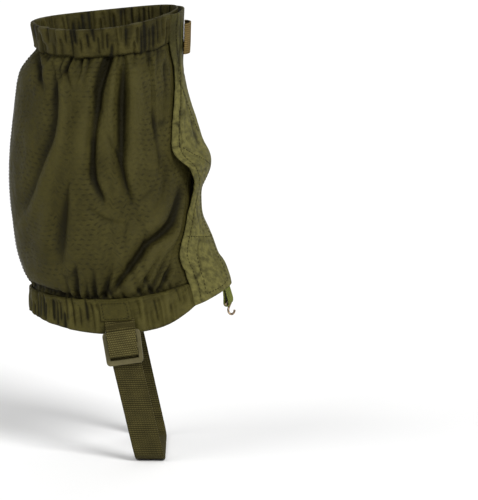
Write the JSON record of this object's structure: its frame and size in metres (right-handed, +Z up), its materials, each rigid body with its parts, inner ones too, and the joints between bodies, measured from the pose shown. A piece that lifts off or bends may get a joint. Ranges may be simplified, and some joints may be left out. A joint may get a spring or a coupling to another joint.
{
  "type": "ankle gaiter",
  "caption": "Short fabric ankle gaiter with elastic cuffs, hook-and-loop front flap, lace hook and a buckled webbing stirrup that passes under the boot's arch.",
  "frame": {"origin": "middle of the stirrup's upper face, where the arch of the boot's sole rests on it", "axes": "+X towards the toe, +Y towards the inner side of the foot, +Z up along the leg"},
  "size_m": [0.1535, 0.1183, 0.3059],
  "materials": {
    "body_fabric": "olive coated polyester with a small woven pattern",
    "flap_fabric": "stiffened olive polyester",
    "closure_tape": "hook-and-loop pile",
    "elastic": "knitted elastic",
    "webbing": "ribbed olive webbing",
    "buckle_plastic": "moulded olive plastic",
    "hook_metal": "plated steel wire"
  },
  "bodies": {
    "shell": {"lateral_panel": "body_fabric", "medial_panel": "body_fabric", "top_cuff": "body_fabric", "bottom_cuff": "body_fabric", "top_elastic": "elastic", "bottom_elastic": "elastic", "under_placket": "flap_fabric", "placket_loop_tape": "closure_tape", "lateral_strap_patch": "body_fabric", "medial_strap_patch": "body_fabric"},
    "flap": {"front_flap": "flap_fabric", "flap_hook_tape": "closure_tape", "pull_loop": "webbing", "lace_hook_tab": "webbing"},
    "hook": {"lace_hook": "hook_metal"},
    "stirrup": {"instep_strap": "webbing", "buckle_anchor_loop": "webbing"},
    "buckle": {"buckle": "buckle_plastic", "strap_buckle_turn": "webbing"}
  },
  "joints": [
    {"name": "flap_hinge", "type": "hinge", "parent": "shell", "child": "flap", "pos_m": [0.01698, 0.02413, 0.3024], "axis": [-0.156, 0.0187, 0.9876], "range_deg": [0, 120]},
    {"name": "lace_hook_swing", "type": "hinge", "parent": "flap", "child": "hook", "pos_m": [0.05318, -0.00711, 0.10233], "axis": [0.289, 0.9473, 0.1383], "range_deg": [-50, 20]},
    {"name": "stirrup_swing", "type": "hinge", "parent": "shell", "child": "stirrup", "pos_m": [-0.0202, 0, 0.097], "axis": [0, 1, 0], "range_deg": [-25, 35]},
    {"name": "buckle_tilt", "type": "hinge", "parent": "stirrup", "child": "buckle", "pos_m": [-0.01923, -0.0561, 0.09007], "axis": [-0.9903, 0, -0.1392], "range_deg": [0, 35]}
  ]
}
